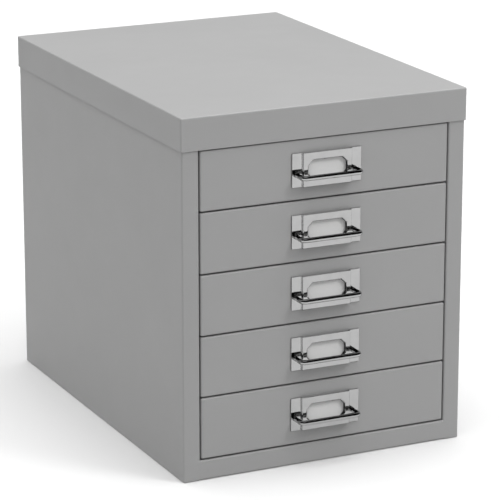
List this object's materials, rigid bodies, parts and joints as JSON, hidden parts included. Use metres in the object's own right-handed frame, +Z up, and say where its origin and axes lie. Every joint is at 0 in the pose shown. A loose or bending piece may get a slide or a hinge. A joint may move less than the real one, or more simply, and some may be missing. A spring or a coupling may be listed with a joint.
{
  "type": "desktop flat file cabinet",
  "caption": "Desktop steel cabinet with shallow sliding drawers for flat sheets, each with a card holder and a wire pull.",
  "frame": {"origin": "on the surface that the cabinet stands on, under the middle of its bounding box, pulls included", "axes": "+X towards the right-hand side seen from the front, -Y out of the front, +Z up"},
  "size_m": [0.275, 0.3922, 0.325],
  "materials": {
    "painted_steel": "satin grey powder coat",
    "bright_plate": "bright nickel-chrome plating",
    "zinc_steel": "clear zinc plating",
    "label_card": "matt white card",
    "foot_rubber": "matt black rubber"
  },
  "bodies": {
    "case": {"top_cap": "painted_steel", "left_side_panel": "painted_steel", "right_side_panel": "painted_steel", "back_panel": "painted_steel", "base_panel": "painted_steel", "front_rail": "painted_steel", "left_liner": "painted_steel", "right_liner": "painted_steel", "foot_front_left": "foot_rubber", "foot_front_right": "foot_rubber", "foot_back_left": "foot_rubber", "foot_back_right": "foot_rubber", "left_stop_strip": "zinc_steel", "right_stop_strip": "zinc_steel", "runner_left_1": "zinc_steel", "runner_left_2": "zinc_steel", "runner_left_3": "zinc_steel", "runner_left_4": "zinc_steel", "runner_left_5": "zinc_steel", "runner_right_1": "zinc_steel", "runner_right_2": "zinc_steel", "runner_right_3": "zinc_steel", "runner_right_4": "zinc_steel", "runner_right_5": "zinc_steel"},
    "drawer_1": {"drawer_tray_1": "painted_steel", "drawer_front_1": "painted_steel", "label_holder_1": "bright_plate", "label_card_1": "label_card", "pull_1": "bright_plate", "push_nut_left_1": "zinc_steel", "push_nut_right_1": "zinc_steel"},
    "drawer_2": {"drawer_tray_2": "painted_steel", "drawer_front_2": "painted_steel", "label_holder_2": "bright_plate", "label_card_2": "label_card", "pull_2": "bright_plate", "push_nut_left_2": "zinc_steel", "push_nut_right_2": "zinc_steel"},
    "drawer_3": {"drawer_tray_3": "painted_steel", "drawer_front_3": "painted_steel", "label_holder_3": "bright_plate", "label_card_3": "label_card", "pull_3": "bright_plate", "push_nut_left_3": "zinc_steel", "push_nut_right_3": "zinc_steel"},
    "drawer_4": {"drawer_tray_4": "painted_steel", "drawer_front_4": "painted_steel", "label_holder_4": "bright_plate", "label_card_4": "label_card", "pull_4": "bright_plate", "push_nut_left_4": "zinc_steel", "push_nut_right_4": "zinc_steel"},
    "drawer_5": {"drawer_tray_5": "painted_steel", "drawer_front_5": "painted_steel", "label_holder_5": "bright_plate", "label_card_5": "label_card", "pull_5": "bright_plate", "push_nut_left_5": "zinc_steel", "push_nut_right_5": "zinc_steel"}
  },
  "joints": [
    {"name": "drawer_1_slide", "type": "slide", "parent": "case", "child": "drawer_1", "axis": [0, -1, 0], "range_m": [0, 0.28]},
    {"name": "drawer_2_slide", "type": "slide", "parent": "case", "child": "drawer_2", "axis": [0, -1, 0], "range_m": [0, 0.28]},
    {"name": "drawer_3_slide", "type": "slide", "parent": "case", "child": "drawer_3", "axis": [0, -1, 0], "range_m": [0, 0.28]},
    {"name": "drawer_4_slide", "type": "slide", "parent": "case", "child": "drawer_4", "axis": [0, -1, 0], "range_m": [0, 0.28]},
    {"name": "drawer_5_slide", "type": "slide", "parent": "case", "child": "drawer_5", "axis": [0, -1, 0], "range_m": [0, 0.28]}
  ]
}
